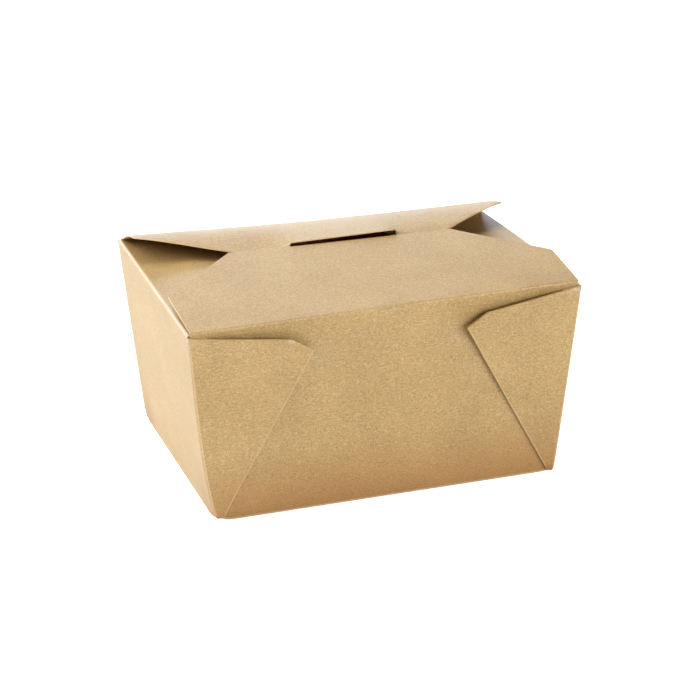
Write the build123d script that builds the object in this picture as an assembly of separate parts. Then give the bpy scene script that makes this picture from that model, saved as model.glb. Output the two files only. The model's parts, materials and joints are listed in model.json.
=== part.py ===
from build123d import *
from math import asin, atan2, cos, degrees, hypot, radians, sin, sqrt, tan
import os

# A folded paperboard food box with its lid closed. It stands on its base at z = 0 and is
# centred on the origin. X runs along the long front wall and -Y points to the front.
# All sizes are in millimetres.

# The board and its folds
BOARD = 0.45              # thickness of the paperboard
PLY_GAP = 0.10            # air left between plies that are folded on each other
CREASE_INNER = 0.50       # inside radius of a crease

# The tray
BASE_LENGTH = 111.0
BASE_DEPTH = 86.0
RIM_LENGTH = 126.5        # outside, at the creases of the lid
RIM_DEPTH = 95.0
HEIGHT = 64.0             # from the table to the crease of the rear flap
END_CREASE_DROP = 0.5     # the end flaps fold first, so they crease a board lower
CORNER_HOLE = 1.0         # every lid crease stops this far from the box's corner

# The web corners: board that joins two walls, folded in two and laid on the long wall
WEB_TOP_DROP = 0.9        # the cut edge starts this far below the rim, at the corner
WEB_CHAMFER_X = 31.3      # it runs down to here
WEB_CHAMFER_Z = 58.8
WEB_TIP_X = 24.5          # then more steeply to the tip, where the diagonal fold starts
WEB_TIP_Z = 54.7
WEB_FOOT_WIDTH = 1.8      # what is left of the web at the table
WEB_FOOT_RISE = 5.0       # height over which the web comes out of the wall
WEB_CORNER_RADIUS = 0.7   # where the outer ply turns into the end wall

# The end flaps, which fold in first
END_FLAP_LENGTH = 40.0
END_FLAP_TAPER = 8.0      # how far each side edge comes in
END_FLAP_CORNER = 6.0
END_FLAP_DROOP = 1.0

# The side corners of the front flap and of the rear flap
SIDE_CORNER_INSET = 0.6   # from the end of the box
SIDE_CORNER_REACH = 25.0  # from the flap's crease

# The front flap, which closes last
FRONT_REACH = 51.0        # from its crease to the slot, seen from above
FRONT_RISE = 5.7          # how much higher its free edge lies than its crease
FRONT_EDGE_WIDTH = 74.0
HINGE_LIFT = 0.3          # axis of its crease, above the crease of the rear flap
HINGE_BEAD = 0.3          # radius of the crushed board that rolls in the crease
HINGE_GAP = 0.1
FLAP_GAP = 0.3            # between the front flap and the rear flap under it

# The rear flap, which has the slot
REAR_REACH = 51.0
REAR_EDGE_WIDTH = 45.0
REAR_BOW_REACH = 32.5     # from its crease to the middle of its bow
REAR_BOW_RADIUS = 60.0

# The tongue on the front flap
TONGUE_WIDTH = 34.0
TONGUE_TIP_WIDTH = 26.0
TONGUE_LENGTH = 12.0
TONGUE_CORNER = 4.0
SLOT_END_GAP = 0.8        # room in the slot at each end of the tongue
SLOT_SIDE_GAP = 0.55      # room in the slot before and behind the tongue

# Worked out from the sizes above
CREASE_OUTER = CREASE_INNER + BOARD
END_FLARE = (RIM_LENGTH - BASE_LENGTH) / 2
FRONT_FLARE = (RIM_DEPTH - BASE_DEPTH) / 2
END_TILT = atan2(END_FLARE, HEIGHT)
FRONT_TILT = atan2(FRONT_FLARE, HEIGHT)
END_CREASE = HEIGHT - END_CREASE_DROP
WALL_TOP = END_CREASE - CREASE_OUTER          # the flaps' bends start above this
OVERLAP = 1.0                                 # of a flap's foot on its wall
WEB_THICKNESS = 2 * BOARD + PLY_GAP
HINGE_Y = BOARD / 2 - RIM_DEPTH / 2
HINGE_Z = HEIGHT + HINGE_LIFT
FRONT_SLOPE = atan2(FRONT_RISE, FRONT_REACH)
FRONT_LENGTH = hypot(FRONT_REACH, FRONT_RISE)
CLEAR = RIM_LENGTH                            # larger than anything it has to cut


def length_at(z):
    return BASE_LENGTH + 2 * END_FLARE * z / HEIGHT


def depth_at(z):
    return BASE_DEPTH + 2 * FRONT_FLARE * z / HEIGHT


def polygon(*points):
    return make_face(Polyline(*points, close=True))


def mirrored(shape, plane):
    return shape + mirror(shape, about=plane)


def folded_sheet(path, side, plane, width):
    """A sheet seen edge on as a path, one board thick, and as wide as given."""
    section = make_face(offset(path, amount=BOARD, side=side))
    return extrude(plane * section, amount=width / 2, both=True)


def frustum(floor, inset):
    """The space between the four sloping walls, drawn in by a thickness of board."""
    sections = []
    for z in (floor, WALL_TOP):
        length = length_at(z) - 2 * inset / cos(END_TILT)
        depth = depth_at(z) - 2 * inset / cos(FRONT_TILT)
        sections.append(Pos(0, 0, z) * Rectangle(length, depth))
    body = loft(sections, ruled=True)
    floor_edges = body.edges().group_by(Axis.Z)[0]
    return fillet(floor_edges, CREASE_OUTER - inset)


def tray():
    """The base and the four walls, up to where the flaps bend."""
    return frustum(0, 0) - frustum(BOARD, BOARD)


def between_end_walls():
    """All the space between the outer faces of the two end walls."""
    half_foot = BASE_LENGTH / 2
    half_rim = RIM_LENGTH / 2
    section = polygon((-half_foot, 0), (half_foot, 0), (half_rim, HEIGHT), (-half_rim, HEIGHT))
    return extrude(Plane.XZ * section, amount=CLEAR, both=True)


def web_outline(corner_inset, fold_outset, top_outset):
    """A web on the right half of the front wall, in the plane of that wall."""
    corner_z = HEIGHT - WEB_TOP_DROP
    up_slope = 1 / cos(FRONT_TILT)
    return polygon(
        (BASE_LENGTH / 2 - corner_inset, 0),
        (length_at(corner_z) / 2 - corner_inset, corner_z * up_slope + top_outset),
        (WEB_CHAMFER_X, WEB_CHAMFER_Z * up_slope + top_outset),
        (WEB_TIP_X - fold_outset, WEB_TIP_Z * up_slope + top_outset),
        (BASE_LENGTH / 2 - WEB_FOOT_WIDTH - fold_outset, 0),
    )


def web():
    """A leak-proof corner: two plies that meet in a round fold along the diagonal."""
    wall_face = Plane(
        origin=(0, -BASE_DEPTH / 2, 0),
        x_dir=(1, 0, 0),
        z_dir=(0, -cos(FRONT_TILT), -sin(FRONT_TILT)),
    )
    past_corner = -2 * BOARD
    plies = Pos(0, 0, PLY_GAP) * extrude(web_outline(past_corner, 0, 0), WEB_THICKNESS)
    plies = wall_face * plies & between_end_walls()
    long_edges = plies.edges().filter_by(lambda edge: edge.length > HEIGHT / 2).sort_by(Axis.X)
    corner_edge = long_edges[-2:].sort_by(Axis.Y)[0]
    plies = fillet(corner_edge, WEB_CORNER_RADIUS)
    long_edges = plies.edges().filter_by(lambda edge: edge.length > HEIGHT / 2).sort_by(Axis.X)
    plies = fillet(long_edges[:2], BOARD)
    root_width = 2 * BOARD
    root = extrude(web_outline(past_corner, 0, 0), PLY_GAP + BOARD)
    root -= extrude(web_outline(root_width, CLEAR, CLEAR), PLY_GAP + BOARD)
    plies += wall_face * root & between_end_walls()
    slit = extrude(web_outline(BOARD, -BOARD, CLEAR), PLY_GAP)
    plies -= wall_face * (Pos(0, 0, PLY_GAP + BOARD) * slit)
    proud = PLY_GAP + WEB_THICKNESS
    runout = polygon((0, 0), (WEB_FOOT_RISE, 2 * proud), (-WEB_FOOT_RISE, 2 * proud), (-WEB_FOOT_RISE, 0))
    plies -= wall_face * extrude(Plane.YZ * runout, amount=CLEAR)
    return plies


def front_lip():
    """The top of the front wall, up to the crease that the front flap turns in."""
    top = HINGE_Z - HINGE_BEAD - HINGE_GAP
    foot = WALL_TOP - OVERLAP
    thickness = BOARD / cos(FRONT_TILT)
    section = polygon(
        (-depth_at(foot) / 2, foot),
        (thickness - depth_at(foot) / 2, foot),
        (thickness - depth_at(top) / 2, top),
        (-depth_at(top) / 2, top),
    )
    return extrude(Plane.YZ * section, amount=RIM_LENGTH / 2 - CORNER_HOLE, both=True)


def flap_outline(length, reach, edge_width):
    """A long flap seen from above: its crease on the X axis, its free edge towards +Y."""
    half_crease = length / 2 - CORNER_HOLE
    half_corner = length / 2 - SIDE_CORNER_INSET
    right = [
        (half_crease, -CORNER_HOLE),
        (half_crease, 0),
        (half_corner, SIDE_CORNER_REACH),
        (edge_width / 2, reach),
    ]
    left = [(-x, y) for x, y in reversed(right)]
    return polygon(*right, *left)


def end_flap():
    """The right end flap, folded in on its crease."""
    foot = WALL_TOP - OVERLAP
    crease_x = length_at(END_CREASE) / 2
    path = FilletPolyline(
        (length_at(foot) / 2, foot),
        (crease_x, END_CREASE),
        (crease_x - END_FLAP_LENGTH, END_CREASE - END_FLAP_DROOP),
        radius=[CREASE_OUTER],
    )
    sheet = folded_sheet(path, Side.LEFT, Plane.XZ, RIM_DEPTH)
    half_crease = RIM_DEPTH / 2 - CORNER_HOLE
    half_end = half_crease - END_FLAP_TAPER
    free_end = crease_x - END_FLAP_LENGTH
    outline = polygon(
        (crease_x + CREASE_OUTER, half_crease),
        (crease_x - CREASE_OUTER, half_crease),
        (free_end, half_end),
        (free_end, -half_end),
        (crease_x - CREASE_OUTER, -half_crease),
        (crease_x + CREASE_OUTER, -half_crease),
    )
    free_corners = outline.vertices().group_by(Axis.X)[0]
    outline = fillet(free_corners, END_FLAP_CORNER)
    return sheet & extrude(outline, amount=2 * HEIGHT)


def front_underside(y):
    """Height of the front flap's lower face."""
    return HINGE_Z + (y - HINGE_Y) * tan(FRONT_SLOPE) - BOARD / 2 / cos(FRONT_SLOPE)


def tongue_face_y(z):
    """Where the outer face of the tongue stands at a height."""
    return HINGE_Y + sqrt(FRONT_LENGTH**2 - (z - HINGE_Z) ** 2)


def rear_flap():
    """The rear flap: it bows up from its crease and dives under the front flap."""
    foot = WALL_TOP - OVERLAP
    crease_y = RIM_DEPTH / 2
    bow_y = crease_y - REAR_BOW_REACH
    end_y = crease_y - REAR_REACH
    path = FilletPolyline(
        (depth_at(foot) / 2, foot),
        (crease_y, HEIGHT),
        (bow_y, front_underside(bow_y) - FLAP_GAP),
        (end_y, front_underside(end_y) - FLAP_GAP),
        radius=[CREASE_OUTER, REAR_BOW_RADIUS],
    )
    sheet = folded_sheet(path, Side.LEFT, Plane.YZ, RIM_LENGTH)
    outline = Rot(0, 0, 180) * flap_outline(RIM_LENGTH, REAR_REACH, REAR_EDGE_WIDTH)
    sheet &= extrude(Pos(0, crease_y, 0) * outline, amount=2 * HEIGHT)
    return sheet - slot()


def slot():
    """The space that the tongue goes through, from above the rear flap to below it."""
    tongue_y = tongue_face_y(HINGE_Z + FRONT_RISE) - BOARD / 2
    width = BOARD + 2 * SLOT_SIDE_GAP
    length = TONGUE_WIDTH + 2 * SLOT_END_GAP
    opening = Pos(0, tongue_y, 0) * SlotOverall(length, width)
    return extrude(opening, amount=2 * HEIGHT)


def carton():
    """Base, walls, web corners, end flaps and rear flap: one sheet of board."""
    webs = mirrored(mirrored(web(), Plane.YZ), Plane.XZ)
    return tray() + webs + front_lip() + mirrored(end_flap(), Plane.YZ) + rear_flap()


def tongue():
    """The tongue of the front flap. It is bent on an arc round the flap's crease, so that
    it slides out of the slot when the flap turns. The flap lies flat here."""
    face_z = BOARD / 2
    bend_z = face_z - CREASE_OUTER
    bend_y = sqrt((FRONT_LENGTH - CREASE_OUTER) ** 2 - bend_z**2)
    over = degrees(asin(-bend_z / (FRONT_LENGTH - CREASE_OUTER)))
    sweep = degrees(TONGUE_LENGTH / FRONT_LENGTH)
    path = (
        Line((bend_y - 2 * CREASE_OUTER, face_z), (bend_y, face_z))
        + CenterArc((bend_y, bend_z), CREASE_OUTER, 90, -90 - over)
        + CenterArc((0, 0), FRONT_LENGTH, -over, -sweep)
    )
    sheet = folded_sheet(path, Side.RIGHT, Plane.YZ, TONGUE_WIDTH)
    tip_z = FRONT_LENGTH * sin(radians(-over - sweep))
    outline = polygon(
        (-TONGUE_WIDTH / 2, BOARD),
        (-TONGUE_WIDTH / 2, -2 * BOARD),
        (-TONGUE_TIP_WIDTH / 2, tip_z),
        (TONGUE_TIP_WIDTH / 2, tip_z),
        (TONGUE_WIDTH / 2, -2 * BOARD),
        (TONGUE_WIDTH / 2, BOARD),
    )
    tip_corners = outline.vertices().group_by(Axis.Y)[0]
    outline = fillet(tip_corners, TONGUE_CORNER)
    return sheet & extrude(Plane.XZ * outline, amount=CLEAR, both=True)


def front_flap():
    """The front flap with its tongue and the bead that turns in the crease."""
    outline = flap_outline(RIM_LENGTH, FRONT_LENGTH - BOARD, FRONT_EDGE_WIDTH)
    outline -= Pos(0, FRONT_LENGTH, 0) * Rectangle(TONGUE_WIDTH, 4 * CREASE_OUTER)
    outline &= Pos(0, CLEAR / 2, 0) * Rectangle(CLEAR, CLEAR)
    plate = extrude(outline, amount=BOARD / 2, both=True)
    bead_length = RIM_LENGTH - 2 * CORNER_HOLE
    bead = Rot(0, 90, 0) * Cylinder(HINGE_BEAD, bead_length)
    closed = Pos(0, HINGE_Y, HINGE_Z) * Rot(degrees(FRONT_SLOPE), 0, 0)
    return closed * (plate + bead + tongue())


def write(name, shape):
    export_step(shape, f"parts/{name}.step")
    print(name, len(shape.solids()), "solid,", round(shape.volume), "cubic millimetres")


os.makedirs("parts", exist_ok=True)
write("carton", carton())
write("front_flap", front_flap())
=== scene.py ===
# %% [markdown]
# # A takeout box of brown board
# The real box is one sheet of brown paperboard, scored, folded and held shut by a tongue in a
# slot. The solid model already has every fold in its place and at its size. What makes paperboard
# look like paperboard is left: it is never quite flat or square, its creases and cut edges are
# paler than its face, and its face is full of short fibres. This lesson adds those.

# %% Load the solid model
import json
from math import atan2, ceil, copysign, cos, exp, pi, radians, sin, tan

import bmesh
import bpy
from mathutils import Matrix, Quaternion, Vector


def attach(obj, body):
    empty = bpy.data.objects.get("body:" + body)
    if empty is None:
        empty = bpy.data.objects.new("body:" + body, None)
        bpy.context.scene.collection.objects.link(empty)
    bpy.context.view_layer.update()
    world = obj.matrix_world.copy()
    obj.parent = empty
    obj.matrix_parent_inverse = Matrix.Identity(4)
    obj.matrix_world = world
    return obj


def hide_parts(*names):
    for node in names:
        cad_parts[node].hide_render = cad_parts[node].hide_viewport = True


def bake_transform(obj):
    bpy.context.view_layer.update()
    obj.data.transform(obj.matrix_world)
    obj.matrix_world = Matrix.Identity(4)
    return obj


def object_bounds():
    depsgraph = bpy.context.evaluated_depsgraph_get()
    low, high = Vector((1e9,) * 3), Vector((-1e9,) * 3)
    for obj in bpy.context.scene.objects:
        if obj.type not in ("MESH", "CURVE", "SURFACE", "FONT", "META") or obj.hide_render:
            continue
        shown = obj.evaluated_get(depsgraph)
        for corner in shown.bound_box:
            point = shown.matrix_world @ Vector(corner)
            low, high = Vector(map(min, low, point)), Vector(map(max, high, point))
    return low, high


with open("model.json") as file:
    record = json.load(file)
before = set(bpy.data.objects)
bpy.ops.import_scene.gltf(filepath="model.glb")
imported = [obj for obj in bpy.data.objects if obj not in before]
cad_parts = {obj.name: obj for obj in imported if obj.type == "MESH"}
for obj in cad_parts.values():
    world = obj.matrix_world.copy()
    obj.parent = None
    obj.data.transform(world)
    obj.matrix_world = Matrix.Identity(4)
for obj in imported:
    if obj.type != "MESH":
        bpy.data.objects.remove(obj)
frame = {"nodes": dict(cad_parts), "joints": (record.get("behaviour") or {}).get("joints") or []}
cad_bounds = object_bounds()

MM = 0.001
X_AXIS, Y_AXIS, Z_AXIS = (Vector(row) for row in Matrix.Identity(3))

low, high = cad_bounds
middle = (low + high) / 2
print("the closed box measures", [round(side / MM, 1) for side in high - low], "mm")

# %% [markdown]
# ## The camera
# The photograph was taken from the front and a little to the left, from above, with a long lens.
# A camera can be placed by hand until the picture looks right, but turning it round the box by an
# azimuth and an elevation keeps the viewing angle and the distance apart. The small roll is the
# tilt of the photograph itself.

# %% Camera at the photograph's viewing angle
AZIMUTH = radians(-17.55)
ELEVATION = radians(21.59)
ROLL = radians(-1.44)
DISTANCE = 775.5 * MM
AIM = Vector((2.49, 0, 32.46)) * MM
SENSOR = 36.0               # millimetres, as the lens is
IMAGE_WIDTH = 700           # pixels
FOCAL_PIXELS = 2400         # the focal length, in the same pixels

camera = bpy.data.objects.new("camera", bpy.data.cameras.new("camera"))
bpy.context.scene.collection.objects.link(camera)
bpy.context.scene.camera = camera
camera.data.sensor_width = SENSOR
camera.data.lens = SENSOR * FOCAL_PIXELS / IMAGE_WIDTH
back = Vector((sin(AZIMUTH) * cos(ELEVATION), -cos(AZIMUTH) * cos(ELEVATION), sin(ELEVATION)))
camera.location = AIM + DISTANCE * back
camera.rotation_mode = "QUATERNION"
camera.rotation_quaternion = (-back).to_track_quat("-Z", "Y") @ Quaternion(Z_AXIS, ROLL)
print("lens", round(camera.data.lens, 1), "mm")

# %% [markdown]
# ## The table
# The photograph is high-key: the table is overexposed until the shadows on it vanish. So the table
# glows by itself, like the light tables of product studios. Light linking keeps that glow off the
# box, which would lose all its shade in it. Under the glow the table is a warm white, and the light
# that it throws back warms the shade between the folds.

# %% Table
TABLE_SIZE = 6.0
TABLE_GLOW = 0.8
TABLE_COLOUR = (0.9, 0.865, 0.8, 1)

table_mesh = bpy.data.meshes.new("table")
table_form = bmesh.new()
bmesh.ops.create_grid(table_form, x_segments=1, y_segments=1, size=TABLE_SIZE / 2)
table_form.to_mesh(table_mesh)
table_form.free()
table = bpy.data.objects.new("table", table_mesh)
bpy.context.scene.collection.objects.link(table)

table_finish = bpy.data.materials.new("white_table")
table_finish.use_nodes = True
table_shader = table_finish.node_tree.nodes["Principled BSDF"]
table_shader.inputs["Base Color"].default_value = TABLE_COLOUR
table_shader.inputs["Roughness"].default_value = 0.9
table_shader.inputs["Specular IOR Level"].default_value = 0.1
table_shader.inputs["Emission Color"].default_value = (1, 1, 1, 1)
table_shader.inputs["Emission Strength"].default_value = TABLE_GLOW
table_mesh.materials.append(table_finish)

lit_by_table = bpy.data.collections.new("lit_by_the_table")
lit_by_table.objects.link(table)
table.light_linking.receiver_collection = lit_by_table
print("the table is", TABLE_SIZE, "m wide and glows at", TABLE_GLOW)

# %% [markdown]
# ## The light
# Five softboxes light the box. One hangs over it, a little behind it, so that the foot of the front
# wall stands in its own shade. One on the left reaches into the open corner under the lid. Two
# stand behind: the board is slightly glossy at a flat angle, and they give the rear flap and the
# left wall their white shine. The last one stands low in front, and lights the front wall and the
# gaps between its folds.

# %% Sky and softboxes
SKY = 0.04
COOL = (0.9, 0.97, 1.1)

world = bpy.data.worlds.new("sky")
world.use_nodes = True
world.node_tree.nodes["Background"].inputs["Color"].default_value = (1, 1, 1, 1)
world.node_tree.nodes["Background"].inputs["Strength"].default_value = SKY
bpy.context.scene.world = world
bpy.context.scene.view_settings.view_transform = "Standard"


def softbox(name, place, width, height, power, colour=(1, 1, 1)):
    """A flat lamp that faces the box."""
    lamp = bpy.data.lights.new(name, "AREA")
    lamp.shape = "RECTANGLE"
    lamp.size = width
    lamp.size_y = height
    lamp.energy = power
    lamp.color = colour
    lamp_object = bpy.data.objects.new(name, lamp)
    bpy.context.scene.collection.objects.link(lamp_object)
    lamp_object.location = place
    lamp_object.rotation_mode = "QUATERNION"
    lamp_object.rotation_quaternion = (middle - lamp_object.location).to_track_quat("-Z", "Y")
    print(name, [round(x, 2) for x in place], power, "W")


# Each has a name, a place, a width and a height in metres, a power in watts and, if not white, a colour.
softbox("overhead", (-0.13, 0.2, 1.18), 0.8, 0.8, 9.5)
softbox("left", (-0.85, -0.25, 0.8), 0.8, 0.8, 7)
softbox("left_behind", (-0.8, 0.7, 0.5), 1.0, 0.6, 9.5, COOL)
softbox("backdrop", (-0.35, 0.85, 0.41), 2.2, 0.8, 12.5, COOL)
softbox("front", (0.45, -1.0, 0.25), 1.0, 0.4, 10.5)

# %% [markdown]
# ## Copying a solid's skin
# The solid's mesh is a heap of loose triangles. A copy of it, with its doubles merged and its flat
# triangles dissolved into whole panels, is a clean start. Modelling the panels afresh would work
# too, but the copy has every ply, slit and fold where the solid has it.

# %% Clean copies
MERGE = 0.001 * MM
FLAT = radians(0.03)


def clean_copy(node):
    """A copy of a solid's skin, made of whole panels."""
    skin = bmesh.new()
    skin.from_mesh(frame["nodes"][node].data)
    bmesh.ops.remove_doubles(skin, verts=skin.verts, dist=MERGE)
    bmesh.ops.dissolve_limit(skin, angle_limit=FLAT, verts=skin.verts, edges=skin.edges)
    print(node, "has", len(skin.faces), "panels and facets")
    return skin


carton = clean_copy("carton")
front_flap = clean_copy("front_flap")

# %% [markdown]
# ## The walls and the crease
# The walls lean, and every later step needs to know where they stand. Their place could be written
# down as numbers, but measured on the copies it stays right when the solid model's sizes change.
# A wall is the largest panel that faces its way.

# %% Where the walls and the crease are
FACING = 0.9                # a panel faces a way if its normal points at least this far along it


def largest_panel(skin, way):
    """The largest panel on one side that faces that way, as a point and a normal."""
    outer = [
        face for face in skin.faces
        if face.normal.dot(way) > FACING and face.calc_center_median().dot(way) > 0
    ]
    panel = max(outer, key=lambda face: face.calc_area())
    return panel.verts[0].co.copy(), panel.normal.copy()


def reach(wall, height):
    """How far out from the middle a sloping wall stands at a height."""
    point, normal = wall
    return (point.dot(normal) - height * normal.z) / normal.xy.length


front_wall = largest_panel(carton, -Y_AXIS)
end_wall = largest_panel(carton, X_AXIS)
base_sides = [round(2 * reach(wall, 0) / MM, 1) for wall in (end_wall, front_wall)]
print("the box stands on", base_sides, "mm")

# %% How the front flap lies on its crease
wall_point, wall_normal = front_wall
wall_way = Vector((0, -wall_normal.z, wall_normal.y))           # down the front wall

crease = Vector(frame["joints"][0]["pos_m"])
flap_point, flap_normal = largest_panel(front_flap, Z_AXIS)
flap_slope = atan2(-flap_normal.y, flap_normal.z)
flap_thickness = 2 * flap_normal.dot(flap_point - crease)
flap_way = Vector((0, cos(flap_slope), sin(flap_slope)))        # from the crease to the slot
flap_up = Vector((0, -sin(flap_slope), cos(flap_slope)))
print("the flap rises at", round(flap_slope / radians(1), 2), "degrees")
print("the board is", round(flap_thickness / MM, 2), "mm thick")

# %% [markdown]
# ## The front crease
# In the solid model the flap turns on a thin bead, as a hinge does. On the real box the board
# simply bends there. So the bead is cut off the flap, and the cut end of the flap is spun round
# the crease until it lands on top of the front wall. Spin is the tool for a bend, because it keeps
# the board's thickness all the way round. The end then goes a little way into the wall, so that no
# light falls between them.

# %% Cut off the bead and spin a bend in its place
CREASE_TO_WALL = 0.4 * MM   # from the hinge axis down to the top of the wall, and along the flap
CREASE_STEPS = 10


def everything(skin):
    """All points, edges and faces of a skin, in one list."""
    return skin.verts[:] + skin.edges[:] + skin.faces[:]


def only(kind, items):
    """The points or the edges among what an operator returned."""
    return [item for item in items if isinstance(item, kind)]


bend_on_flap = crease + CREASE_TO_WALL * flap_way
turn = pi - flap_way.angle(wall_way)
bend_radius = CREASE_TO_WALL / tan(turn / 2)
pivot = bend_on_flap - bend_radius * flap_up

bmesh.ops.bisect_plane(
    front_flap, geom=everything(front_flap), dist=MERGE,
    plane_co=bend_on_flap, plane_no=flap_way, clear_inner=True,
)
cut_end = [edge for edge in front_flap.edges if edge.is_boundary]
spun = bmesh.ops.spin(
    front_flap, geom=cut_end, cent=pivot, axis=X_AXIS, dvec=(0, 0, 0), angle=turn,
    steps=CREASE_STEPS, use_merge=False, use_normal_flip=False, use_duplicate=False,
)
spun_end = only(bmesh.types.BMEdge, spun["geom_last"])
print("the bend turns", round(turn / radians(1), 1), "degrees")

# %% Tuck the end into the wall
TUCK = 0.15 * MM            # the end goes this far into the wall, out of sight
TUCK_SHRINK = 0.96          # and gets this much narrower, to stay inside it

tucked = bmesh.ops.extrude_edge_only(front_flap, edges=spun_end)["geom"]
tucked_points = only(bmesh.types.BMVert, tucked)
tucked_edges = [edge for edge in only(bmesh.types.BMEdge, tucked) if edge.is_boundary]
bmesh.ops.translate(front_flap, verts=tucked_points, vec=TUCK * wall_way)
tuck_middle = crease + (CREASE_TO_WALL + TUCK) * wall_way
bmesh.ops.scale(
    front_flap, verts=tucked_points, vec=(1, TUCK_SHRINK, 1), space=Matrix.Translation(-tuck_middle)
)
bmesh.ops.edgeloop_fill(front_flap, edges=tucked_edges)
bmesh.ops.remove_doubles(front_flap, verts=front_flap.verts, dist=MERGE)
bmesh.ops.recalc_face_normals(front_flap, faces=front_flap.faces)
print(sum(not edge.is_manifold for edge in front_flap.edges), "open edges")

# %% [markdown]
# ## Telling faces, folds and cut edges apart
# The finish needs to know what each face is. A cut edge is a long strip one board wide, with sharp
# edges on both sides. A fold is a narrow facet that meets its neighbours at a slight angle. Both
# are easy to find while the panels are still whole, so they are marked now, on the faces. The width
# of a strip is its area divided by half of its border. The folds are painted pale, partly for
# scuffing and partly as a painted highlight: most on the long sides, less on the end walls, and not
# at all on the flap's own folds.

# %% Mark cut edges and folds
SHARP = radians(38)         # a cut edge turns by more than this, and a fold by less
BENT = radians(2)           # a fold turns by more than this
CUT_WIDTH = 0.62 * MM       # a cut edge is narrower than this
FOLD_WIDTH = 0.5 * MM       # and a facet of a fold is narrower than this
UNDER_CREASE = 1.2 * MM     # a cut edge this close to the crease is hidden under the bend
LONG_SIDE = 0.7             # a face is on a long side if its normal points this far along Y
END_FOLD_SHARE = 0.4              # the other folds get this share of the paleness: scuffing and painted highlight
# How pale each skin's folds are painted, partly scuffing and partly painted highlight
PALE_FOLD_SHARES = ((carton, 1), (front_flap, 0))


def grow_region(start, left):
    """All faces that run into the first one without a sharp edge."""
    region, waiting = [], [start]
    left.discard(start)
    while waiting:
        face = waiting.pop()
        region.append(face)
        for edge in face.edges:
            for other in edge.link_faces:
                if other in left and edge.calc_face_angle(0) < SHARP:
                    left.discard(other)
                    waiting.append(other)
    return region


def border_length(region):
    """How long the edges are that a region shares with faces outside it."""
    inside = set(region)
    edges = [edge for face in region for edge in face.edges]
    return sum(edge.calc_length() for edge in edges if not inside.issuperset(edge.link_faces))


def mark_board(skin, fold_share):
    """Writes how much each face is a cut edge, and how pale it is as a fold: scuffing and painted
    highlight.
    """
    cut = skin.faces.layers.float.new("cut")
    fold = skin.faces.layers.float.new("fold")
    left = set(skin.faces)
    while left:
        region = grow_region(next(iter(left)), left)
        area = sum(face.calc_area() for face in region)
        border = border_length(region)
        for face in region:
            off_crease = (face.calc_center_median() - crease).yz.length
            face[cut] = float(2 * area < CUT_WIDTH * border and off_crease > UNDER_CREASE)
            bends = [BENT < edge.calc_face_angle(0) < SHARP for edge in face.edges]
            narrow = face.calc_area() < FOLD_WIDTH * face.calc_perimeter() / 2
            # A fold's paleness is partly scuffing and partly painted highlight, strongest on the long
            # sides
            side_share = 1 if abs(face.normal.y) > LONG_SIDE else END_FOLD_SHARE
            face[fold] = fold_share * side_share * float(any(bends) and narrow)
    cuts = sum(face[cut] > 0 for face in skin.faces)
    folds = sum(face[fold] > 0 for face in skin.faces)
    print(cuts, "faces of cut edges,", folds, "faces of worn folds")


for skin, fold_share in PALE_FOLD_SHARES:
    skin.normal_update()
    mark_board(skin, fold_share)

# %% [markdown]
# ## Panels that can bend
# A panel of one face can't bend. Slicing the whole skin with evenly spaced planes gives it points
# to bend at, and, unlike subdividing, it doesn't care what shape the panels are.

# %% Slice the skins
SLICE = 3 * MM


def slice_skin(skin, spacing):
    """Cuts a skin along planes that stand one spacing apart, in all three directions."""
    for axis in (X_AXIS, Y_AXIS, Z_AXIS):
        heights = [point.co.dot(axis) for point in skin.verts]
        count = ceil((max(heights) - min(heights)) / spacing)
        for k in range(1, count):
            place = axis * (min(heights) + k * spacing)
            bmesh.ops.bisect_plane(
                skin, geom=everything(skin), dist=MERGE, plane_co=place, plane_no=axis
            )


for skin in (carton, front_flap):
    slice_skin(skin, SLICE)
    print(len(skin.faces), "faces after slicing")

# %% [markdown]
# ## Which way the fibres run
# Board has a grain: its fibres lie along one direction of the sheet. On the box they run along the
# long walls and the lid, and up the end walls, because those were folded up from the sheet's ends.
# A UV map carries that direction. Each face is laid flat from its own side, with U along the
# fibres. This is done before anything bends, so that the pattern bends with the board.

# %% Lay the faces flat
def lay_flat(skin):
    """Gives each face a flat place, in metres, with U along the fibres."""
    layer = skin.loops.layers.uv.new("fibres")
    skin.normal_update()
    for face in skin.faces:
        side = [abs(part) for part in face.normal]
        for loop in face.loops:
            x, y, z = loop.vert.co
            if side[0] == max(side):
                loop[layer].uv = (z, y)
            elif side[1] == max(side):
                loop[layer].uv = (x, z)
            else:
                loop[layer].uv = (x, y)
    print(len(skin.faces), "faces laid flat")


for skin in (carton, front_flap):
    lay_flat(skin)

# %% [markdown]
# ## Out of true
# A box folded by hand is a little skewed. Seen against the solid model, its rear right corner leans
# in and has sunk, and its base has shifted a little. Each corner of the rim and of the base gets its
# own small lean, and every point between them follows its neighbours, as in a lattice.

# %% How far each corner leans, in millimetres
RIM_LEAN = {
    "front left": (0.7, 0, 0), "front right": (-0.5, 0, 0),
    "rear left": (1.6, -0.5, 0.2), "rear right": (1.5, -5.1, -4.2),
}
BASE_LEAN = {
    "front left": (0.2, 0, 0), "front right": (-0.7, -1.7, 0),
    "rear left": (-0.8, 1.2, 0), "rear right": (0.5, 0.5, 0),
}
SAG_POWER = 1.6             # the rim stays straight near the front and sinks towards the rear


def corner_mix(leans, across, along):
    """The lean at a place between four corners, as shares of the length and of the depth."""
    front = Vector(leans["front left"]).lerp(Vector(leans["front right"]), across)
    rear = Vector(leans["rear left"]).lerp(Vector(leans["rear right"]), across)
    return front.lerp(rear, along)


def lean(point):
    """How far a point of the true box moves in the skewed one."""
    across = (point.x - low.x) / (high.x - low.x)
    along = (point.y - low.y) / (high.y - low.y)
    height = min(point.z / crease.z, 1)
    rim = corner_mix(RIM_LEAN, across, along)
    rim.z *= max(along, 0) ** (SAG_POWER - 1)
    base = corner_mix(BASE_LEAN, across, along)
    return base.lerp(rim, height) * MM


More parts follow.
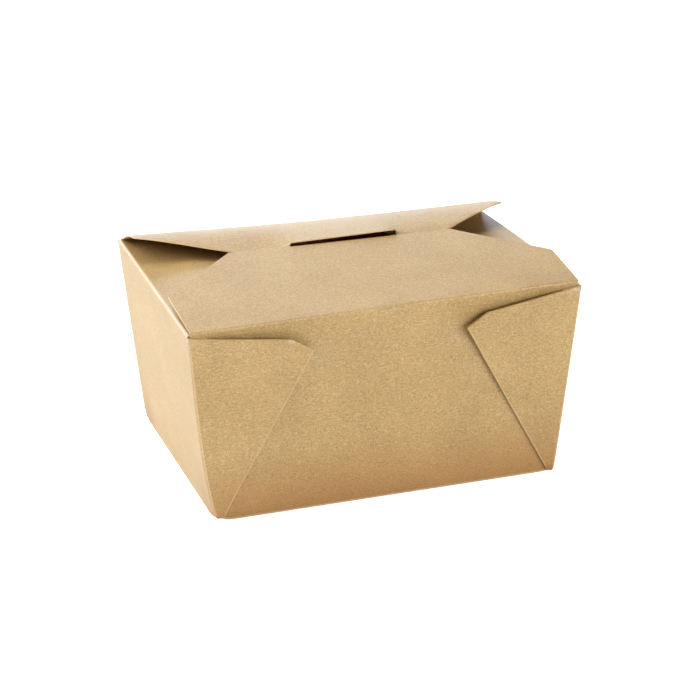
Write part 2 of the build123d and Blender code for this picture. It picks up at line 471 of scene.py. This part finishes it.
rear_right = lean(Vector((high.x, high.y, crease.z)))
print("the rear right corner moves by", [round(part / MM, 1) for part in rear_right], "mm")

# %% [markdown]
# ## Springy board
# Creased board wants to open again, so hardly a panel of the box is flat. The panels could be bent
# one by one with modifiers, but the skin is one piece, and a bend has to fade out where the board
# is held. So each bend is a function here: it takes a point of the true box and says how far the
# bend moves it. The next steps only write the functions down, and their moves are added up in the
# end. All of them need the same two helpers: how far a value is on its way between two others, and
# a soft start and end for that share.

# %% Shares of a way
def within(value, start, end):
    """How far a value lies between two others, from 0 to 1."""
    return min(max((value - start) / (end - start), 0), 1)


def smooth(share):
    """The same share, with a soft start and a soft end."""
    return share * share * (3 - 2 * share)


print("a quarter of the way, made smooth:", smooth(0.25))

# %% [markdown]
# ## The rear flap and the slot
# The rear flap is held at its crease and by the tongue in its slot. Between them it is free. There
# it springs most of the way back from the sunken corner, and its left edge gapes. The tongue
# pushes the rear lip of the slot up, most at its right end.

# %% The rear flap and the lip of its slot
LID_UNDERSIDE = crease.z - 0.55 * MM    # the rear flap lies above this, the end flaps below it
REAR_CREASE_INSET = 1 * MM              # from the back of the box
REAR_FLAP_SPRING = 0.8      # share of the lean that the middle of the rear flap doesn't follow
REAR_FLAP_GAPE = 3.0 * MM   # how much its left edge gapes
REAR_FLAP_SHIFT = 1.1 * MM  # how much its free edge is pushed to the right
TONGUE_BACK = 1.5           # the tongue's root is this close to the slot, in thicknesses of board
LIP_LIFT = (1.7 * MM, 2.4 * MM)         # at the slot's left end and at its right end
LIP_START = 0.3 * MM        # the lip starts this far in front of the flap's rearmost point
LIP_RUN = 9 * MM            # the lift fades over this way towards the rear
LIP_FADE = 2 * MM           # and over this way past the ends of the slot

rear_crease = high.y - REAR_CREASE_INSET
slot_edge = max(point.co.y for point in front_flap.verts)
tongue_back = slot_edge - TONGUE_BACK * flap_thickness
half_slot = max(point.co.x for point in front_flap.verts if point.co.y > tongue_back)
print("slot at y", round(slot_edge / MM, 2), "mm, half as long as", round(half_slot / MM, 2), "mm")


def on_rear_flap(point):
    return point.z > LID_UNDERSIDE and point.y > low.y / 2


def rear_flap_spring(point):
    """The rear flap's free part doesn't follow the sunken corner, and its left edge gapes."""
    if not on_rear_flap(point):
        return Vector()
    free = sin(pi * within(point.y, slot_edge, rear_crease))
    left = within(point.x, 0, low.x)
    shift = REAR_FLAP_SHIFT * within(point.y, rear_crease, slot_edge)
    gape = REAR_FLAP_GAPE * free**2 * left
    return -REAR_FLAP_SPRING * free * lean(point) + gape * Z_AXIS + shift * X_AXIS


def slot_lip(point):
    """The rear lip of the slot rides up where the tongue pushes on it."""
    if not on_rear_flap(point) or point.y < slot_edge - LIP_START:
        return Vector()
    fade = 1 - smooth(within(abs(point.x), half_slot, half_slot + LIP_FADE))
    left, right = LIP_LIFT
    lift = left + (right - left) * within(point.x, -half_slot, half_slot)
    return lift * fade * exp(-(point.y - slot_edge) / LIP_RUN) * Z_AXIS


# %% [markdown]
# ## The end flaps
# The two end flaps fold in first and press up against the lid from below. The left one rises more,
# because the rear flap gapes there, and in the open corner it catches the light.

# %% The end flaps
END_FLAP_SPRING = {"left": 3.4, "right": 1.0}       # millimetres
END_FLAP_BOTTOM = 61 * MM   # every point of an end flap is higher than this
END_FLAP_HALF = 45 * MM     # the rise fades out this far from the middle of the end wall
END_FLAP_RUN = 20 * MM      # it rises over this way from the end wall


def end_flap_spring(point):
    """The middle of each end flap presses up against the lid."""
    inside = reach(end_wall, point.z) - abs(point.x)
    in_flap = END_FLAP_BOTTOM < point.z < LID_UNDERSIDE and abs(point.y) < END_FLAP_HALF
    if inside < 0 or not in_flap:
        return Vector()
    middle_share = cos(pi / 2 * abs(point.y) / END_FLAP_HALF) ** 2
    lift = END_FLAP_SPRING["left" if point.x < 0 else "right"] * MM
    return lift * smooth(within(inside, 0, END_FLAP_RUN)) * middle_share * Z_AXIS


print("the end flaps rise by", END_FLAP_SPRING, "mm")

# %% [markdown]
# ## The long walls and the webs
# A web is the board between two walls, folded in two along a diagonal and laid on the long wall.
# It springs open again: it stands off the wall at its diagonal fold, mostly in its upper part.
# Above it the wall is pressed in a little, which opens the dark wedge under the crease of the lid.
# Front and rear are mirror images, so both walls are measured as if they were the front wall.

# %% The long walls and the webs
LEAST_GAP = 0.04 * MM       # a point this far in front of a long wall belongs to a web
WALL_BACK = -1.5 * flap_thickness       # and one further back than this isn't on the wall
WEB_FOLD_FOOT = 53.7 * MM   # the diagonal fold of a web stands this far out at the table
WEB_FOLD_TIP = 24.5 * MM    # and this far out at its tip
WEB_TIP_HEIGHT = 54.7 * MM
WEB_TOP = crease.z - 0.8 * MM           # what stands higher belongs to the creases of the lid
WEB_OPENING = {"front left": 1.6, "front right": 1.8, "rear left": 1.3, "rear right": 1.7}
WEB_OPENING_POWER = 0.7     # below 1, the web opens soon after the corner that holds it
WEB_CURL_FOOT = 20 * MM     # the upper part of a web opens, from here up
WEB_HELD = 0.15             # share of the opening that its lower part keeps
WALL_DISH = 0.9 * MM        # how far a long wall is pressed in above a web
DISH_FOOT = 48 * MM         # it is pressed in from this height up to the crease
DISH_START = 12 * MM        # from this far off the middle, and to this far off the corner


def corner_name(point):
    return ("front " if point.y < 0 else "rear ") + ("left" if point.x < 0 else "right")


def in_front_of_wall(point):
    """How far a point stands in front of the nearer long wall."""
    mirrored = Vector((point.x, -abs(point.y), point.z))
    return (mirrored - wall_point).dot(wall_normal)


def inward(point):
    """The way from a long wall to the middle of the box."""
    return Vector((0, -point.y, 0)).normalized()


def wall_dish(point):
    """A long wall is pressed in between its crease and the top of each web."""
    if not WALL_BACK < in_front_of_wall(point) < LEAST_GAP:
        return Vector()
    height = within(point.z, DISH_FOOT, crease.z)
    over_web = smooth(within(abs(point.x), DISH_START, WEB_FOLD_TIP))
    corner = reach(end_wall, point.z)
    off_corner = smooth(within(abs(point.x), corner, corner - DISH_START))
    return WALL_DISH * sin(pi * height) * over_web * off_corner * inward(point)


def web_opening(point):
    """The free edges of a web stand off the long wall that it is folded on."""
    if in_front_of_wall(point) < LEAST_GAP or point.z > WEB_TOP:
        return Vector()
    height = within(point.z, 0, WEB_TIP_HEIGHT)
    fold = WEB_FOLD_FOOT + (WEB_FOLD_TIP - WEB_FOLD_FOOT) * height
    free = within(abs(point.x), reach(end_wall, point.z), fold) ** WEB_OPENING_POWER
    upper = smooth(within(point.z, WEB_CURL_FOOT, WEB_TIP_HEIGHT))
    curl = WEB_HELD * height + (1 - WEB_HELD) * upper
    return -WEB_OPENING[corner_name(point)] * MM * free * curl * inward(point)


print("the webs open by", WEB_OPENING, "mm")

# %% [markdown]
# ## The base corners and the left wall
# The folds of a web all meet at a corner of the base, where so much folded board is never sharp.
# Each corner is rounded and lifted off the table a little, most at the front left. The left wall
# bows out next to its front edge, and furthest a little below its middle.

# %% The base corners and the left wall
CORNER_LIFT = {"front left": 1.1, "front right": 0.3, "rear left": 0.4, "rear right": 0.4}
CORNER_TUCK = 0.5           # how far the corner also draws in, as a share of its lift
CORNER_REACH = 3 * MM       # the rounding fades over this way
WALL_BOW = 1.5 * MM
WALL_BOW_REACH = 22 * MM    # the board next to the left wall follows it, this far in
WALL_BOW_FRONT = 1.5        # the higher this power, the sooner the bow ends towards the rear
WALL_BOW_LOW = 0.7          # below 1, the bow is widest below the middle


def round_corner(point):
    """The four corners of the base are a little rounded by the folds of the webs."""
    out_x = copysign(reach(end_wall, 0), point.x)
    out_y = copysign(reach(front_wall, 0), point.y)
    corner = Vector((out_x, out_y, 0))
    near = exp(-((point - corner).length / CORNER_REACH) ** 2)
    return near * CORNER_LIFT[corner_name(point)] * MM * (Z_AXIS - CORNER_TUCK * corner.normalized())


def wall_bow(point):
    """The left wall bows out near its front edge, below its middle."""
    edge = -reach(end_wall, point.z)
    near = 1 - within(point.x, edge, edge + WALL_BOW_REACH)
    front = 1 - within(point.y, low.y, high.y)
    height = within(point.z, 0, crease.z)
    return -WALL_BOW * near**2 * front**WALL_BOW_FRONT * sin(pi * height**WALL_BOW_LOW) * X_AXIS


print("the base corners lift by", CORNER_LIFT, "mm")

# %% [markdown]
# ## All movements together
# Every function is asked about the place that the point has in the true box, and not about where
# the functions before it have put the point. So the order of the functions doesn't matter. The
# front flap only follows the lean: it is the panel that was folded last, and it lies flat.

# %% Move every point
CARTON_MOVES = (
    lean, rear_flap_spring, end_flap_spring, slot_lip, wall_dish, web_opening, round_corner, wall_bow,
)
FLAP_MOVES = (lean,)

for skin, moves in ((carton, CARTON_MOVES), (front_flap, FLAP_MOVES)):
    furthest = 0
    for point in skin.verts:
        place = point.co.copy()
        for move in moves:
            point.co += move(place)
        furthest = max(furthest, (point.co - place).length)
    print("points moved by up to", round(furthest / MM, 1), "mm")

# %% [markdown]
# ## Shader maths
# The finish mixes many noises, and a Math node for each sum would bury the idea under wiring. So
# one small class wraps a node's output and lets Python's own signs add the Math nodes. A second
# class adds every other node by its type, its settings and its inputs.

# %% Shader maths as plain Python
class Socket:
    """A node's output that can be used in sums, products and comparisons."""

    def __init__(self, finish, output):
        self.finish = finish
        self.output = output

    def maths(self, operation, *values):
        inputs = dict(enumerate(values))
        return self.finish.node("ShaderNodeMath", {"operation": operation}, inputs)

    def __add__(self, other):
        return self.maths("ADD", self, other)

    def __sub__(self, other):
        return self.maths("SUBTRACT", self, other)

    def __rsub__(self, other):
        return self.maths("SUBTRACT", other, self)

    def __mul__(self, other):
        return self.maths("MULTIPLY", self, other)

    def __gt__(self, other):
        return self.maths("GREATER_THAN", self, other)

    def __abs__(self):
        return self.maths("ABSOLUTE", self)

    __radd__ = __add__
    __rmul__ = __mul__

    def swing(self):
        """A noise from 0 to 1, moved so that it swings about 0."""
        return self - 0.5

    def clamped(self):
        return self.finish.node("ShaderNodeClamp", {}, {"Value": self})


print("signs that add a node: + - * > abs")

# %% A material, node by node
class Finish:
    """A material that is built node by node."""

    def __init__(self, name):
        self.material = bpy.data.materials.new(name)
        self.material.use_nodes = True
        self.tree = self.material.node_tree
        self.shader = self.tree.nodes["Principled BSDF"]

    def connect(self, value, socket):
        if isinstance(value, Socket):
            self.tree.links.new(value.output, socket)
        else:
            socket.default_value = value

    def node(self, kind, settings, inputs, output=0):
        """Adds a node, sets it up, feeds its inputs and returns one of its outputs."""
        node = self.tree.nodes.new(kind)
        for name, value in settings.items():
            setattr(node, name, value)
        for name, value in inputs.items():
            self.connect(value, node.inputs[name])
        return Socket(self, node.outputs[output])

    def mix(self, share, first, second):
        """A colour between two colours."""
        inputs = {0: share, 6: first, 7: second}
        return self.node("ShaderNodeMix", {"data_type": "RGBA"}, inputs, 2)

    def noise(self, vector, scale, detail, stretch=(1, 1, 1)):
        """Cloudy noise from 0 to 1, finer along one direction if it is stretched."""
        placed = self.node("ShaderNodeMapping", {}, {"Vector": vector, "Scale": stretch})
        inputs = {"Vector": placed, "Scale": scale, "Detail": detail}
        return self.node("ShaderNodeTexNoise", {}, inputs, "Fac")


kraft = Finish("kraft_board")
print("started the material", kraft.material.name)

# %% [markdown]
# ## Kraft board
# The face of brown board is a mat of fibres. Up close it has a fine grain, short streaks that lie
# along the fibre direction, slow cloudy changes of tone, and a few darker specks. All of them come
# from noise of different sizes. They colour the board, change its roughness a little and raise a
# faint relief. Clouds, grain and specks have no direction, so they read the place in the solid.
# Mottle and streaks do, so they read the fibre map.

# %% Noise of four sizes
CLOUD_SCALE = 60                    # waves in a metre, here and below
GRAIN_SCALE = 3000
MOTTLE_STRETCH = (1000, 1700, 1)    # along the fibres and across them
STREAK_STRETCH = (260, 1600, 1)

solid = kraft.node("ShaderNodeTexCoord", {}, {}, "Object")
sheet = kraft.node("ShaderNodeUVMap", {"uv_map": "fibres"}, {})
clouds = kraft.noise(solid, CLOUD_SCALE, 3)
mottle = kraft.noise(sheet, 1, 2, MOTTLE_STRETCH)
grain = kraft.noise(solid, GRAIN_SCALE, 1)
streaks = kraft.noise(sheet, 1, 3, STREAK_STRETCH)
print(len(kraft.tree.nodes), "nodes so far")

# %% The brown of the face
BOARD_DARK = (0.232, 0.128, 0.036, 1)
BOARD_LIGHT = (0.565, 0.39, 0.156, 1)
CLOUD_TONE = 0.35           # how much each noise lightens and darkens the face
MOTTLE_TONE = 0.75
GRAIN_TONE = 1.4
STREAK_TONE = 0.4
SPECK = (0.22, 0.12, 0.05, 1)
SPECK_SCALE = 1300
SPECK_LEVEL = 0.8           # only the peaks of a noise above this are specks
SPECK_TONE = 0.3

tone = 0.5 + CLOUD_TONE * clouds.swing() + MOTTLE_TONE * mottle.swing()
tone = tone + GRAIN_TONE * grain.swing() + STREAK_TONE * streaks.swing()
face = kraft.mix(tone.clamped(), BOARD_DARK, BOARD_LIGHT)
print("dark and light brown are", BOARD_DARK[:3], BOARD_LIGHT[:3])

# %% [markdown]
# ## Painted shade at the foot, folds and cut edges
# The foot of each long wall gets painted shade: the material mixes it towards a darker, warmer
# brown, on top of the shade that the lamps give it. The end walls don't get it. Cut edges are paler
# than the face, because the pale inner layers of the board show there. Folds are paler too, partly
# where the board is scuffed and its inner layers show, and partly as a painted highlight. The grain
# breaks up the pale line of a fold, as scuffing does.

# %% Painted shade at the foot, paler folds
# Painted shade: the darker, warmer brown that the foot of the long walls is mixed towards
FOOT_SHADE_COLOUR = (0.30, 0.12, 0.02, 1)
FOOT_HEIGHT = 22 * MM
FOOT_START = 28 * MM        # from the middle of the box, towards its long walls
FOOT_FADE = 8 * MM
FOOT_SHADE_TONE = 0.6
INNER_PLY_AND_HIGHLIGHT = (0.62, 0.45, 0.25, 1)
CUT_PALENESS = 0.6
FOLD_PALENESS = 0.55
FOLD_GRAIN = 0.5

# Painted shade at the foot of both long walls, fading out upwards; the end walls get none
depth = kraft.node("ShaderNodeSeparateXYZ", {}, {"Vector": solid}, "Y")
height = kraft.node("ShaderNodeSeparateXYZ", {}, {"Vector": solid}, "Z")
on_long_wall = (abs(depth) * (1 / FOOT_FADE) - FOOT_START / FOOT_FADE).clamped()
foot_shade = (1 - height * (1 / FOOT_HEIGHT)).clamped() * on_long_wall
face = kraft.mix(foot_shade * FOOT_SHADE_TONE, face, FOOT_SHADE_COLOUR)

speck_field = kraft.noise(solid, SPECK_SCALE, 0)
face = kraft.mix((speck_field > SPECK_LEVEL) * SPECK_TONE, face, SPECK)

cut = kraft.node("ShaderNodeAttribute", {"attribute_name": "cut"}, {}, "Fac")
fold = kraft.node("ShaderNodeAttribute", {"attribute_name": "fold"}, {}, "Fac")
# Painted highlight and scuffing on the folds, broken up by the grain
scuffed_and_highlit = (fold * (FOLD_PALENESS + FOLD_GRAIN * grain.swing())).clamped()
pale = (cut * CUT_PALENESS + scuffed_and_highlit).clamped()
colour = kraft.mix(pale, face, INNER_PLY_AND_HIGHLIGHT)
print("the foot is", FOOT_HEIGHT / MM, "mm high")

# %% [markdown]
# ## Surface
# Board is matt, but at a flat angle it shines. It is also a little translucent: some light is let
# in under the surface, which softens the shade next to the folds, and red light gets the furthest.
# These are the same all over the board, so they are set on the shader. Only the roughness and the
# relief change from place to place, with the same noises as the colour.

# %% Roughness, relief and translucency
ROUGHNESS = 0.43
ROUGHNESS_SWING = 0.2
STREAK_RELIEF, GRAIN_RELIEF, MOTTLE_RELIEF = 0.6, 0.5, 0.4
RELIEF_STRENGTH = 0.35
RELIEF_DEPTH = 0.06 * MM
SHINE = 0.7
TRANSLUCENCY = 0.2
LIGHT_REACH = (2.0, 0.7, 0.2)       # of red, green and blue, in thicknesses of the board

relief = STREAK_RELIEF * streaks + GRAIN_RELIEF * grain + MOTTLE_RELIEF * mottle
bump_inputs = {"Strength": RELIEF_STRENGTH, "Distance": RELIEF_DEPTH, "Height": relief}
bump = kraft.node("ShaderNodeBump", {}, bump_inputs)
kraft.connect(colour, kraft.shader.inputs["Base Color"])
kraft.connect(ROUGHNESS + ROUGHNESS_SWING * grain.swing(), kraft.shader.inputs["Roughness"])
kraft.connect(bump, kraft.shader.inputs["Normal"])
kraft.shader.inputs["Specular IOR Level"].default_value = SHINE
kraft.shader.inputs["Subsurface Weight"].default_value = TRANSLUCENCY
kraft.shader.inputs["Subsurface Radius"].default_value = LIGHT_REACH
kraft.shader.inputs["Subsurface Scale"].default_value = flap_thickness
print("the finish has", len(kraft.tree.nodes), "nodes")

# %% [markdown]
# ## Finished pieces
# Each skin becomes an object at the origin. Folds are shaded smooth and cut edges sharp, and the
# normals are weighted by area so that flat panels stay flat right up to their folds.

# %% Make the objects
def finished(name, skin):
    """A shown piece from a skin."""
    mesh = bpy.data.meshes.new(name)
    skin.to_mesh(mesh)
    skin.free()
    mesh.materials.append(kraft.material)
    mesh.shade_smooth()
    mesh.set_sharp_from_angle(angle=SHARP)
    piece = bpy.data.objects.new(name, mesh)
    bpy.context.scene.collection.objects.link(piece)
    weighted = piece.modifiers.new("flat_panels", "WEIGHTED_NORMAL")
    weighted.keep_sharp = True
    print(name, len(mesh.polygons), "faces")
    return piece


carton_piece = finished("folded_carton", carton)
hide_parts("carton")
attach(carton_piece, "carton")

flap_piece = finished("folded_front_flap", front_flap)
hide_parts("front_flap")
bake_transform(flap_piece)
